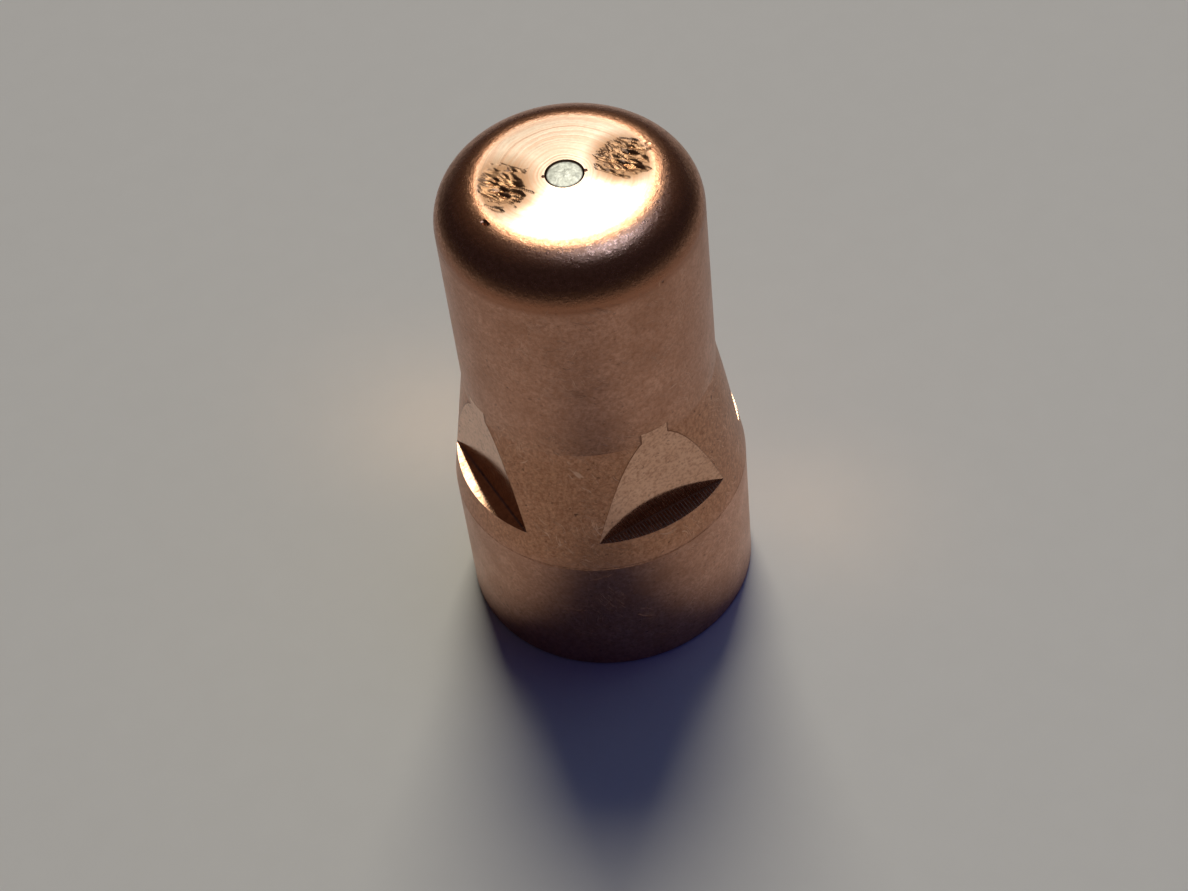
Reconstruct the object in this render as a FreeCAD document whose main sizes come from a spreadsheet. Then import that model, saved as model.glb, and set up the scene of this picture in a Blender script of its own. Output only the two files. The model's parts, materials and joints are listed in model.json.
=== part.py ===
# Plasma torch electrode: a turned copper body with four milled flats and a hafnium emitter
# pressed into its nose. It stands on its open rear end. Millimetres, +Z up towards the nose,
# origin on the axis at the rear face. One flat faces each of -Y, +X, +Y and -X.
import FreeCAD
import Part
import math
import os
import Sketcher

DRIVING_SIZES = [
    # name, value, what it is
    ("base_radius", 7.62, "outside of the plain rear skirt"),
    ("base_height", 8.45, "height of the skirt, up to the edge where the taper starts"),
    ("neck_height", 15.9, "height at which the taper meets the front cylinder"),
    ("front_radius", 6.39, "outside of the front cylinder"),
    ("overall_height", 28.58, "rear face to nose face"),
    ("nose_radius", 2.4, "round between the front cylinder and the nose face"),
    ("heel_radius", 0.2, "broken outer edge of the rear face"),
    ("across_flats", 12.7, "between two opposite milled flats"),
    ("flat_count", 4, "milled flats, evenly spaced"),
    ("ledge_height", 10.16, "height of the ledge that a flat ends on"),
    ("cutter_diameter", 6.35, "cutter that mills a flat, and so the height of the flat"),
    ("cooling_bore_diameter", 9.0, "blind bore from the rear face"),
    ("cooling_bore_depth", 19.0, "depth of the bore's straight wall"),
    ("drill_point_angle", 118.0, "cone angle at the end of the cooling bore, in degrees"),
    ("bore_chamfer", 0.5, "chamfer at the mouth of the cooling bore"),
    ("emitter_diameter", 1.8, "hafnium emitter and the flat-ended hole that it is pressed into"),
    ("emitter_length", 3.6, "emitter, from the nose face to the end of its hole"),
    ("emitter_chamfer", 0.06, "broken edge of the emitter's visible end"),
]
OVERCUT = 1.0          # how far the cutter runs past the skirt, outwards and at each side
SAME_PLACE = 1e-4      # two lengths closer than this are the same

doc = FreeCAD.newDocument("plasma_torch_electrode")


def add_sizes(document, sizes):
    """Put the driving dimensions in a sheet: name, value and meaning in each row."""
    sheet = document.addObject("Spreadsheet::Sheet", "Sizes")
    for row, (alias, value, meaning) in enumerate(sizes, start=1):
        sheet.set(f"A{row}", alias)
        sheet.set(f"B{row}", str(value))
        sheet.setAlias(f"B{row}", alias)
        sheet.set(f"C{row}", meaning)
    document.recompute()
    return sheet


def add_body(document, label):
    """A new body, with its origin planes and axes found by their role."""
    body = document.addObject("PartDesign::Body", label)
    body.Label = label
    body.Placement = FreeCAD.Placement()
    roles = {feature.Role: feature for feature in body.Origin.OriginFeatures}
    return body, roles


def add_sketch(body, plane, name, offset_z=None):
    """A sketch on one of the body's own origin planes, lifted off it by a sheet expression."""
    sketch = body.newObject("Sketcher::SketchObject", name)
    sketch.AttachmentSupport = [(plane, "")]
    sketch.MapMode = "FlatFace"
    if offset_z is not None:
        sketch.setExpression("AttachmentOffset.Base.z", offset_z)
    return sketch


def fix(sketch, kind, *where, name=None, size=None):
    """Add one constraint, and where it has a name, bind it to a size in the sheet."""
    index = sketch.addConstraint(Sketcher.Constraint(kind, *where))
    if name is not None:
        sketch.renameConstraint(index, name)
        sketch.setExpression(f"Constraints.{name}", size)


def circle_edge(shape, radius, height):
    """Name of the full circle of this radius that lies level at this height."""
    for number, edge in enumerate(shape.Edges, start=1):
        curve = edge.Curve
        if not isinstance(curve, Part.Circle):
            continue
        same_radius = abs(curve.Radius - radius) < SAME_PLACE
        same_height = abs(curve.Center.z - height) < SAME_PLACE
        if same_radius and same_height:
            return f"Edge{number}"
    raise ValueError(f"no circle of radius {radius} at height {height}")


# The turned blank. Its half outline runs from the centre of the rear face, out round the
# skirt, up the taper and the front cylinder, and over the nose back to the axis.
def turn_blank(body, roles, sheet):
    base_radius = sheet.base_radius
    front_radius = sheet.front_radius
    nose_radius = sheet.nose_radius
    top = sheet.overall_height
    corners = [
        (0.0, 0.0),
        (base_radius, 0.0),
        (base_radius, sheet.base_height),
        (front_radius, sheet.neck_height),
        (front_radius, top - nose_radius),
    ]
    nose_edge = (front_radius - nose_radius, top)
    nose_centre = FreeCAD.Vector(front_radius - nose_radius, top - nose_radius, 0)

    sketch = add_sketch(body, roles["XZ_Plane"], "blank_outline")
    for start, end in zip(corners, corners[1:]):
        sketch.addGeometry(Part.LineSegment(FreeCAD.Vector(*start, 0), FreeCAD.Vector(*end, 0)), False)
    rear, skirt, taper, front = range(4)
    circle = Part.Circle(nose_centre, FreeCAD.Vector(0, 0, 1), nose_radius)
    nose = sketch.addGeometry(Part.ArcOfCircle(circle, 0.0, math.pi / 2), False)
    face = sketch.addGeometry(
        Part.LineSegment(FreeCAD.Vector(*nose_edge, 0), FreeCAD.Vector(0, top, 0)), False)
    axis = sketch.addGeometry(
        Part.LineSegment(FreeCAD.Vector(0, top, 0), FreeCAD.Vector(0, 0, 0)), False)

    fix(sketch, "Coincident", rear, 1, -1, 1)
    fix(sketch, "Coincident", rear, 2, skirt, 1)
    fix(sketch, "Coincident", skirt, 2, taper, 1)
    fix(sketch, "Coincident", taper, 2, front, 1)
    fix(sketch, "Tangent", front, 2, nose, 1)
    fix(sketch, "Tangent", nose, 2, face, 1)
    fix(sketch, "Coincident", face, 2, axis, 1)
    fix(sketch, "Coincident", axis, 2, rear, 1)
    fix(sketch, "Horizontal", rear)
    fix(sketch, "Vertical", skirt)
    fix(sketch, "Vertical", front)
    fix(sketch, "Horizontal", face)
    fix(sketch, "Vertical", axis)
    fix(sketch, "DistanceX", rear, 1, rear, 2, base_radius, name="base_radius", size="Sizes.base_radius")
    fix(sketch, "DistanceY", skirt, 1, skirt, 2, sheet.base_height,
        name="base_height", size="Sizes.base_height")
    fix(sketch, "DistanceX", -1, 1, front, 1, front_radius, name="front_radius", size="Sizes.front_radius")
    fix(sketch, "DistanceY", -1, 1, front, 1, sheet.neck_height,
        name="neck_height", size="Sizes.neck_height")
    fix(sketch, "Radius", nose, nose_radius, name="nose_radius", size="Sizes.nose_radius")
    fix(sketch, "DistanceY", -1, 1, axis, 1, top, name="overall_height", size="Sizes.overall_height")

    blank = body.newObject("PartDesign::Revolution", "turned_blank")
    blank.Profile = sketch
    blank.ReferenceAxis = (sketch, ["V_Axis"])
    blank.Angle = 360.0
    return blank


# The blind cooling bore, drilled from the rear face along the axis.
def drill_cooling_bore(document, body, roles, sheet):
    sketch = add_sketch(body, roles["XY_Plane"], "cooling_bore_centre")
    radius = sheet.cooling_bore_diameter / 2
    circle = sketch.addGeometry(Part.Circle(FreeCAD.Vector(), FreeCAD.Vector(0, 0, 1), radius), False)
    fix(sketch, "Coincident", circle, 3, -1, 1)
    fix(sketch, "Diameter", circle, 2 * radius, name="bore", size="Sizes.cooling_bore_diameter")
    document.recompute()

    bore = body.newObject("PartDesign::Hole", "cooling_bore")
    bore.Profile = sketch
    bore.Reversed = True
    bore.DepthType = "Dimension"
    bore.DrillPoint = "Angled"
    bore.setExpression("Diameter", "Sizes.cooling_bore_diameter")
    bore.setExpression("Depth", "Sizes.cooling_bore_depth")
    bore.setExpression("DrillPointAngle", "Sizes.drill_point_angle")
    return bore


# The flat-ended hole in the nose face that the emitter is pressed into.
def drill_emitter_hole(document, body, roles, sheet):
    sketch = add_sketch(body, roles["XY_Plane"], "emitter_hole_centre", "Sizes.overall_height")
    radius = sheet.emitter_diameter / 2
    circle = sketch.addGeometry(Part.Circle(FreeCAD.Vector(), FreeCAD.Vector(0, 0, 1), radius), False)
    fix(sketch, "Coincident", circle, 3, -1, 1)
    fix(sketch, "Diameter", circle, 2 * radius, name="emitter", size="Sizes.emitter_diameter")
    document.recompute()

    hole = body.newObject("PartDesign::Hole", "emitter_hole")
    hole.Profile = sketch
    hole.DepthType = "Dimension"
    hole.DrillPoint = "Flat"
    hole.setExpression("Diameter", "Sizes.emitter_diameter")
    hole.setExpression("Depth", "Sizes.emitter_length")
    return hole


# One milled flat. The cutter's axis points at the electrode's axis and the cutter crosses
# the taper level, so its end leaves the upright flat and its side leaves the ledge. The flat
# is a hair inside the front cylinder, so it ends in a short step above the neck.
def mill_flat(body, roles, sheet):
    sketch = add_sketch(body, roles["XZ_Plane"], "cutter_path", "Sizes.across_flats / 2")
    half = sheet.base_radius + OVERCUT
    low = sheet.ledge_height
    high = low + sheet.cutter_diameter
    corners = [(-half, low), (half, low), (half, high), (-half, high)]
    for start, end in zip(corners, corners[1:] + corners[:1]):
        sketch.addGeometry(Part.LineSegment(FreeCAD.Vector(*start, 0), FreeCAD.Vector(*end, 0)), False)
    bottom, right, upper, left = range(4)
    for first, second in ((bottom, right), (right, upper), (upper, left), (left, bottom)):
        fix(sketch, "Coincident", first, 2, second, 1)
    fix(sketch, "Horizontal", bottom)
    for line in (right, left):
        fix(sketch, "Vertical", line)
    fix(sketch, "DistanceX", bottom, 1, bottom, 2, 2 * half,
        name="travel", size=f"2 * Sizes.base_radius + {2 * OVERCUT}")
    fix(sketch, "Symmetric", upper, 1, upper, 2, -2)
    fix(sketch, "DistanceY", -1, 1, bottom, 1, low, name="ledge", size="Sizes.ledge_height")
    fix(sketch, "DistanceY", bottom, 1, upper, 2, high - low,
        name="cutter", size="Sizes.cutter_diameter")

    pocket = body.newObject("PartDesign::Pocket", "milled_flat")
    pocket.Profile = sketch
    pocket.Reversed = True
    pocket.setExpression("Length", f"Sizes.base_radius - Sizes.across_flats / 2 + {OVERCUT}")
    return pocket


def repeat_flats(body, roles, pocket):
    """The same cut at each quarter turn."""
    pattern = body.newObject("PartDesign::PolarPattern", "milled_flats")
    pattern.Originals = [pocket]
    pattern.Axis = (roles["Z_Axis"], [""])
    pattern.Angle = 360.0
    pattern.setExpression("Occurrences", "Sizes.flat_count")
    body.Tip = pattern
    return pattern


# The edges of the rear face: a light break outside and a lead-in chamfer at the bore.
def finish_rear_edges(document, body, sheet):
    before = body.Tip
    heel = body.newObject("PartDesign::Fillet", "heel_break")
    heel.Base = (before, [circle_edge(before.Shape, sheet.base_radius, 0.0)])
    heel.setExpression("Radius", "Sizes.heel_radius")
    document.recompute()

    mouth = body.newObject("PartDesign::Chamfer", "bore_lead_in")
    mouth.Base = (heel, [circle_edge(heel.Shape, sheet.cooling_bore_diameter / 2, 0.0)])
    mouth.setExpression("Size", "Sizes.bore_chamfer")
    document.recompute()


def make_electrode_body(document, sheet):
    body, roles = add_body(document, "electrode_body")
    blank = turn_blank(body, roles, sheet)
    document.recompute()
    bore = drill_cooling_bore(document, body, roles, sheet)
    document.recompute()
    hole = drill_emitter_hole(document, body, roles, sheet)
    document.recompute()
    pocket = mill_flat(body, roles, sheet)
    document.recompute()
    pattern = repeat_flats(body, roles, pocket)
    document.recompute()
    finish_rear_edges(document, body, sheet)

    stages = (blank, bore, hole, pocket, pattern)
    volumes = [stage.Shape.Volume for stage in stages]
    for stage, volume in zip(stages, volumes):
        print(f"{stage.Name}: {volume:.2f} mm3")
    if any(later >= earlier for earlier, later in zip(volumes, volumes[1:])):
        raise ValueError("a cut removed nothing from the electrode body")
    return body


# The hafnium emitter: a plain rod that fills its hole, flush with the nose face.
def make_emitter(document, sheet):
    body, roles = add_body(document, "emitter_insert")
    radius = sheet.emitter_diameter / 2
    sketch = add_sketch(body, roles["XY_Plane"], "emitter_section",
                        "Sizes.overall_height - Sizes.emitter_length")
    circle = sketch.addGeometry(Part.Circle(FreeCAD.Vector(), FreeCAD.Vector(0, 0, 1), radius), False)
    fix(sketch, "Coincident", circle, 3, -1, 1)
    fix(sketch, "Diameter", circle, 2 * radius, name="emitter", size="Sizes.emitter_diameter")
    rod = body.newObject("PartDesign::Pad", "emitter_rod")
    rod.Profile = sketch
    rod.setExpression("Length", "Sizes.emitter_length")
    document.recompute()

    rim = body.newObject("PartDesign::Chamfer", "emitter_rim")
    rim.Base = (rod, [circle_edge(rod.Shape, radius, sheet.overall_height)])
    rim.setExpression("Size", "Sizes.emitter_chamfer")
    document.recompute()
    return body


def check_and_export(document, pieces):
    """Stop if anything failed to build, then write each piece to its own file."""
    for item in document.Objects:
        if "Invalid" in item.State or "Error" in item.State:
            raise ValueError(f"{item.Name} failed: {item.State}")
    for piece in pieces:
        shape = piece.Shape
        if shape.isNull() or not shape.isValid() or len(shape.Solids) != 1:
            raise ValueError(f"{piece.Label} is not one valid solid")
    os.makedirs("parts", exist_ok=True)
    for piece in pieces:
        box = piece.Shape.optimalBoundingBox(False, False)
        piece.Shape.exportStep(f"parts/{piece.Label}.step")
        print(f"{piece.Label}: {piece.Shape.Volume:.2f} mm3, "
              f"{box.XLength:.3f} x {box.YLength:.3f} x {box.ZLength:.3f} mm")


sizes = add_sizes(doc, DRIVING_SIZES)
electrode_body = make_electrode_body(doc, sizes)
emitter_insert = make_emitter(doc, sizes)
check_and_export(doc, [electrode_body, emitter_insert])
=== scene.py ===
# %% [markdown]
# # A plasma torch electrode
# This lesson models a small copper part, 28 mm tall, that wears out at the tip of a plasma
# cutting torch. A lathe turns its body, a milling cutter leaves four flats on its taper, and a
# rod of hafnium is pressed into the middle of its nose, where the arc burns.
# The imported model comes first. It is the fixed frame, and everything below is made to fit it.

# %% Load the frame
import json
import math

import bpy
from mathutils import Matrix, Vector, noise

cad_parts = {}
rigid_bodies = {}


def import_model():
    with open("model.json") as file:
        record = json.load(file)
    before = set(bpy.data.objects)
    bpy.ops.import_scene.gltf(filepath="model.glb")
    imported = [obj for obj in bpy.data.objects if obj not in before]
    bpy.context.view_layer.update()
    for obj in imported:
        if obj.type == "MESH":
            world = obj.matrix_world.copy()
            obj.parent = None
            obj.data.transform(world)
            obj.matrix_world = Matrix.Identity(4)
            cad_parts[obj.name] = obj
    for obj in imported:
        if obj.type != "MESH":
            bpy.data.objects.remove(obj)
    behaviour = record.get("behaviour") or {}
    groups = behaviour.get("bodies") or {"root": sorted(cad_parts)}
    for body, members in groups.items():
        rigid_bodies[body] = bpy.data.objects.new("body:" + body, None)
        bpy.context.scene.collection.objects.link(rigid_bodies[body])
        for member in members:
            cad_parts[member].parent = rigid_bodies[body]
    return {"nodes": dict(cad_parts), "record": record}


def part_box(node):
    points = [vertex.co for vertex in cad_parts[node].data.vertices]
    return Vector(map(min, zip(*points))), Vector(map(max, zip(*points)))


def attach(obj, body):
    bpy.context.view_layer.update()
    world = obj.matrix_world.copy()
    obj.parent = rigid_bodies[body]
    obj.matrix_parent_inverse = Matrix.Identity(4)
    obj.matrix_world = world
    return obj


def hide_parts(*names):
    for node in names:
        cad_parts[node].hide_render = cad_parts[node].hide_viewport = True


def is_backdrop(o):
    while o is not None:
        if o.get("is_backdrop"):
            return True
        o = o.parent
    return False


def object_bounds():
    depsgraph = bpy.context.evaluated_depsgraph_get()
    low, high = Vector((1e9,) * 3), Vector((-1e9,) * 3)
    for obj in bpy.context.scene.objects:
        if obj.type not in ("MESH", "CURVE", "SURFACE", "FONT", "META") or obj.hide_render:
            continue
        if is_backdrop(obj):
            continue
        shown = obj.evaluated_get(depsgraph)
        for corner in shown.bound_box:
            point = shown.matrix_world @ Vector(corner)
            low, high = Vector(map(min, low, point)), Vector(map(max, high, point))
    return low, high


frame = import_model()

cad_low, cad_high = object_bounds()
print("nodes in the frame:", sorted(frame["nodes"]))

# %% [markdown]
# ## Sizes
# A drawing of a turned part gives its radii and heights, and so does this cell. Those that the
# frame knows are read from it, so the looks can't drift away from the imported part.
# The rest are the drawing's own. All are in millimetres, because Blender's tools merge and bevel
# more safely at that size. Each finished mesh is scaled down to metres once, at the end.

# %% Sizes in millimetres
MM = 0.001
mounts = {mount["name"]: mount for mount in frame["record"]["mounts"]}
emitter_low, emitter_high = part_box("emitter_insert")

top = cad_high.z / MM
skirt_r = mounts["rear_skirt"]["dims"]["r_mm"]
front_r = mounts["front_cylinder"]["dims"]["r_mm"]
bore_r = mounts["cooling_bore"]["dims"]["r_mm"]
emitter_r = emitter_high.x / MM
emitter_floor = emitter_low.z / MM

skirt_top = 8.45         # height of the edge where the taper starts
neck = 15.9              # height where the taper meets the front cylinder
nose_r = 2.4             # round of the nose
heel_r = 0.2             # broken edge of the rear face
bore_chamfer = 0.5
bore_wall = mounts["cooling_bore"]["dims"]["length_mm"]
drill_half_angle = math.radians(59)
flat_at = 6.35           # distance of a flat from the axis
ledge = 10.16            # height of the ledge below a flat
cutter = 6.35            # diameter of the cutter, and so the height of a flat
print(f"{top:.2f} mm tall, skirt {2 * skirt_r:.2f} mm, front {2 * front_r:.2f} mm")

# %% [markdown]
# ## Camera
# The photograph looks down on the electrode from close by, with the camera leaning a little to
# one side. The camera is set first, because everything after it is judged through it. The
# distance and the focal length belong together: they set how much wider the near nose looks
# than the far skirt.

# %% Camera
camera_azimuth = math.radians(-25.2)    # left of straight in front of one flat
camera_lift = math.radians(49.165)
camera_away = 121.2                     # from the aim point, along the line of sight
camera_roll = math.radians(-7.34)
aim_height = 11.43
aim_shift = Vector((-0.0023, -0.0125))  # where the line of sight is off that point: right, up
photo_width = 1188
focal_pixels = 2354.2

back = Vector((math.sin(camera_azimuth) * math.cos(camera_lift),
               -math.cos(camera_azimuth) * math.cos(camera_lift),
               math.sin(camera_lift)))
level_right = Vector((math.cos(camera_azimuth), math.sin(camera_azimuth), 0))
level_up = back.cross(level_right)
sight = (-back + aim_shift.x * level_right + aim_shift.y * level_up).normalized()
right = sight.cross(level_up).normalized()
up = right.cross(sight)
rolled_right = math.cos(camera_roll) * right + math.sin(camera_roll) * up
rolled_up = rolled_right.cross(sight)

camera_data = bpy.data.cameras.new("photo_camera")
camera_data.sensor_width = 36
camera_data.lens = camera_data.sensor_width * focal_pixels / photo_width
camera_data.clip_start = 0.01
camera = bpy.data.objects.new("photo_camera", camera_data)
bpy.context.scene.collection.objects.link(camera)
place = (back * camera_away + Vector((0, 0, aim_height))) * MM
camera.matrix_world = Matrix.Translation(place) @ Matrix(
    (rolled_right, rolled_up, -sight)).transposed().to_4x4()
bpy.context.scene.camera = camera
print(f"lens {camera_data.lens:.1f} mm, {camera_away:.0f} mm away")

# %% [markdown]
# ## Selecting in code
# With no window, faces and edges are picked by their place. An operator acts on all that is
# selected, and the frame's own nodes start out selected, so everything is deselected before a
# piece is begun, and only the new piece is active while it is worked on.

# %% Selection helpers
def start_fresh():
    """Leave edit mode and select nothing."""
    if bpy.context.object and bpy.context.object.mode == "EDIT":
        bpy.ops.object.mode_set(mode="OBJECT")
    bpy.ops.object.select_all(action="DESELECT")


def make_active(piece):
    """Select this piece alone."""
    start_fresh()
    piece.select_set(True)
    bpy.context.view_layer.objects.active = piece


def edit(piece, mode="VERT"):
    """Open a piece in edit mode with nothing selected."""
    make_active(piece)
    bpy.ops.object.mode_set(mode="EDIT")
    bpy.ops.mesh.select_mode(type=mode)
    bpy.ops.mesh.select_all(action="DESELECT")


def pick(piece, test, mode="VERT"):
    """Select the vertices or faces that pass the test, and stay in edit mode."""
    edit(piece, mode)
    bpy.ops.object.mode_set(mode="OBJECT")
    parts = piece.data.vertices if mode == "VERT" else piece.data.polygons
    for part in parts:
        part.select = test(part)
    bpy.ops.object.mode_set(mode="EDIT")


def apply_modifier(piece, kind, **settings):
    """Add a modifier with these settings and apply it."""
    make_active(piece)
    modifier = piece.modifiers.new(kind.lower(), kind)
    for name, value in settings.items():
        setattr(modifier, name, value)
    bpy.ops.object.modifier_apply(modifier=modifier.name)


def into_place(piece, name):
    """Scale a finished mesh from millimetres to metres, with the object left at the origin."""
    make_active(piece)
    piece.name = name
    piece.data.name = name
    piece.scale = (MM, MM, MM)
    bpy.ops.object.transform_apply(location=True, rotation=True, scale=True)
    print(f"{name}: {len(piece.data.vertices)} vertices")

# %% [markdown]
# ## The turned outline
# On a lathe the part is one profile swept round the axis, and the model is made the same way.
# One vertex is extruded from point to point along half of the section: from the end of the
# blind bore, out over the rear face, up the skirt, taper and front cylinder, and over the nose
# to the emitter's hole. Round stretches come from a formula. The nose face is not quite flat:
# it is crowned by a tenth of a millimetre, which is why its near half catches the light first.

# %% Points of the outline
heel_steps = 4
nose_steps = 26
face_step = 0.055        # fine enough to carve the damage on the face
crown_slope = math.radians(3)
ring_depth = 0.02        # the thin line that the tool left above the skirt
ring_width = 0.12
rim_gap = 0.04           # dark gap round the emitter, and how deep it goes
rim_gap_depth = 0.16


def arc(centre, radius, start, end, steps):
    """Points along an arc, as radius and height, from one angle to another."""
    angles = [math.radians(start + (end - start) * i / steps) for i in range(steps + 1)]
    return [(centre[0] + radius * math.cos(a), centre[1] + radius * math.sin(a)) for a in angles]


crown_edge = front_r - nose_r + nose_r * math.sin(crown_slope)
crown_r = crown_edge / math.sin(crown_slope)
crown_centre = top - crown_r
nose_centre = (front_r - nose_r,
               crown_centre + crown_r * math.cos(crown_slope) - nose_r * math.cos(crown_slope))


def crown_height(radius):
    """Height of the nose face at this distance from the axis."""
    return crown_centre + math.sqrt(crown_r ** 2 - radius ** 2)

# %% The outline, from the bore to the emitter
outline = [(0, bore_chamfer + bore_wall + bore_r / math.tan(drill_half_angle)),
           (bore_r, bore_chamfer + bore_wall),
           (bore_r, bore_chamfer),
           (bore_r + bore_chamfer, 0)]
outline += arc((skirt_r - heel_r, heel_r), heel_r, -90, 0, heel_steps)
outline += [(skirt_r, skirt_top - ring_width),
            (skirt_r - ring_depth, skirt_top - ring_width / 2),
            (skirt_r, skirt_top)]
outline += [(front_r, neck), (front_r, (neck + nose_centre[1]) / 2)]
outline += arc(nose_centre, nose_r, 0, 90 - math.degrees(crown_slope), nose_steps)
face_inner = emitter_r + rim_gap
face_rings = round((crown_edge - face_inner) / face_step)
for ring in range(1, face_rings + 1):
    radius = crown_edge + (face_inner - crown_edge) * ring / face_rings
    outline.append((radius, crown_height(radius)))
outline += [(emitter_r + 0.6 * rim_gap, top - 0.6 * rim_gap_depth),
            (emitter_r, top - rim_gap_depth),
            (emitter_r, emitter_floor),
            (0, emitter_floor)]
print(len(outline), "points on the outline")

# %% [markdown]
# ## Spinning the body
# A plane collapsed to one vertex is the start, and each extrude moves on to the next point.
# The spin then turns the line round the axis in fine steps, because polished metal shows every
# facet. The ends of the line lie on the axis, so their copies are merged into one vertex.

# %% Turned body
segments = 480
merge_distance = 0.002

start_fresh()
bpy.ops.mesh.primitive_plane_add(size=1, location=(0, 0, 0))
body = bpy.context.object
bpy.ops.object.mode_set(mode="EDIT")
bpy.ops.mesh.select_mode(type="VERT")
bpy.ops.mesh.merge(type="CENTER")
bpy.ops.transform.translate(value=(outline[0][0], 0, outline[0][1]))
for here, there in zip(outline, outline[1:]):
    step = (there[0] - here[0], 0, there[1] - here[1])
    bpy.ops.mesh.extrude_region_move(TRANSFORM_OT_translate={"value": step})
bpy.ops.mesh.select_all(action="SELECT")
bpy.ops.mesh.spin(steps=segments, angle=math.tau, center=(0, 0, 0), axis=(0, 0, 1))
bpy.ops.mesh.select_all(action="SELECT")
bpy.ops.mesh.remove_doubles(threshold=merge_distance)
bpy.ops.mesh.normals_make_consistent(inside=False)
bpy.ops.object.mode_set(mode="OBJECT")
print("turned body:", len(body.data.polygons), "faces")

# %% [markdown]
# ## The milled flats
# An end mill stands level with its end towards the axis and crosses the taper. Its end leaves an
# upright flat, its side leaves the ledge below, and each turn of the cutter leaves a fine rib
# across the ledge. So the ribs are modelled on the underside of a cutter block, and the block
# is cut away from the body. It is made once and copied to each quarter turn. On the flat that
# faces left in the photograph the ledge came out much smoother and falls outwards a little,
# which is why its rim catches the window, so its copy is pressed flatter and tilted.

# %% Ribbed cutter block
rib_pitch = 0.19
rib_depth = 0.010
rib_count = 42
rib_profile = ((0, 0), (0.55, 0.12), (0, 1.0), (-0.55, 0.12))    # shift in strips, and height
block_reach = skirt_r - flat_at + 1.0
block_width = rib_count * rib_pitch
block_middle = -(flat_at + block_reach / 2)
corner = 0.06            # the cutter's worn corner leaves this much in the angle
strip = rib_pitch / len(rib_profile)

start_fresh()
bpy.ops.mesh.primitive_grid_add(
    x_subdivisions=rib_count * len(rib_profile), y_subdivisions=2, size=1,
    location=(0, block_middle, ledge))
block = bpy.context.object
block.scale = (block_width, block_reach, 1)
bpy.ops.object.transform_apply(location=True, rotation=True, scale=True)
pick(block, lambda v: abs(v.co.y - block_middle) < block_reach / 4)
bpy.ops.transform.translate(value=(0, block_reach / 2 - corner, 0))
pick(block, lambda v: v.co.y > -flat_at - corner / 2)
bpy.ops.transform.translate(value=(0, 0, corner))
bpy.ops.object.mode_set(mode="OBJECT")
strip_number = [round((v.co.x + block_width / 2) / strip) for v in block.data.vertices]
for phase, (shift, share) in enumerate(rib_profile):
    pick(block, lambda v: strip_number[v.index] % len(rib_profile) == phase)
    bpy.ops.transform.translate(value=(shift * strip, 0, share * rib_depth))
bpy.ops.mesh.select_all(action="SELECT")
bpy.ops.mesh.extrude_region_move(TRANSFORM_OT_translate={"value": (0, 0, cutter)})
bpy.ops.mesh.select_all(action="SELECT")
bpy.ops.mesh.normals_make_consistent(inside=False)
bpy.ops.object.mode_set(mode="OBJECT")

# %% Cut the four flats
smooth_quarter = 3
rib_share_left = 0.2
fall_left = 0.08         # how far the block's outer edge lies lower there
blocks = [block]
for quarter in range(1, 4):
    turned = block.copy()
    turned.data = block.data.copy()
    bpy.context.scene.collection.objects.link(turned)
    if quarter == smooth_quarter:
        pick(turned, lambda v: v.co.z < ledge + 2 * rib_depth)
        bpy.ops.transform.resize(value=(1, 1, rib_share_left), center_override=(0, 0, ledge))
        pick(turned, lambda v: v.co.z < ledge + rib_depth and v.co.y < -flat_at - 2 * corner)
        bpy.ops.transform.translate(value=(0, 0, -fall_left))
    make_active(turned)
    turned.rotation_euler = (0, 0, quarter * math.pi / 2)
    bpy.ops.object.transform_apply(location=True, rotation=True, scale=True)
    blocks.append(turned)

# %% [markdown]
# The hole for the emitter has a nick on each side, where the tool that pressed it in held the
# part. Two small cones bite them out of the rim. They join the four blocks, and one boolean
# cuts them all.

# %% Nicks beside the emitter, and the cut
nick_angles = (156, -23)
nick_out = 0.98          # distance from the axis
nick_root, nick_mouth = 0.02, 0.15    # radii of the cone below and above
nick_height = 0.2
nick_middle = 0.06       # the cone's middle lies this deep below the nose face
for angle in nick_angles:
    at = (nick_out * math.cos(math.radians(angle)), nick_out * math.sin(math.radians(angle)))
    start_fresh()
    bpy.ops.mesh.primitive_cone_add(vertices=5, radius1=nick_root, radius2=nick_mouth,
                                    depth=nick_height, location=(*at, top - nick_middle))
    nick = bpy.context.object
    bpy.ops.object.transform_apply(location=True, rotation=True, scale=True)
    blocks.append(nick)

make_active(block)
for other in blocks:
    other.select_set(True)
bpy.ops.object.join()
apply_modifier(body, "BOOLEAN", operation="DIFFERENCE", solver="EXACT", object=block)
bpy.data.objects.remove(block)
print("after milling:", len(body.data.polygons), "faces")

# %% [markdown]
# ## Damage on the nose face
# Two rough patches lie opposite each other beside the emitter, where a tool gripped the face,
# and there is a dent on the round. The copper is torn there into small tilted facets that
# glint. A sheet of triangles with random heights at their corners stands for it, like crumpled
# foil. It is sunk less and less towards the edge of a patch, so that only its lowest corners
# still break the face there. The depth of every vertex is kept as a weight, so one displace
# modifier can dig them all, and as an attribute, so the material can colour the same places.

# %% Depth of the damage
patches = (
    # centre of the patch, half length along the radius, half width across it, turn in degrees,
    # and how far its stain reaches, where 1 is the patch's own outline
    ((-2.78, 0.98), 1.10, 1.25, 161, 2.0),
    ((2.80, -0.62), 1.13, 1.25, -14, 1.7),
    ((-4.50, -0.56), 0.12, 0.22, 187, 1.5),
)
facet_sizes = ((0.33, 0.60), (0.17, 0.40))    # side of a triangle, and its share of the depth
facet_turn = -25         # the tool slid across this direction, in degrees, and dragged each
facet_stretch = 1.2      # facet this much longer
deepest = 0.24
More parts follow.
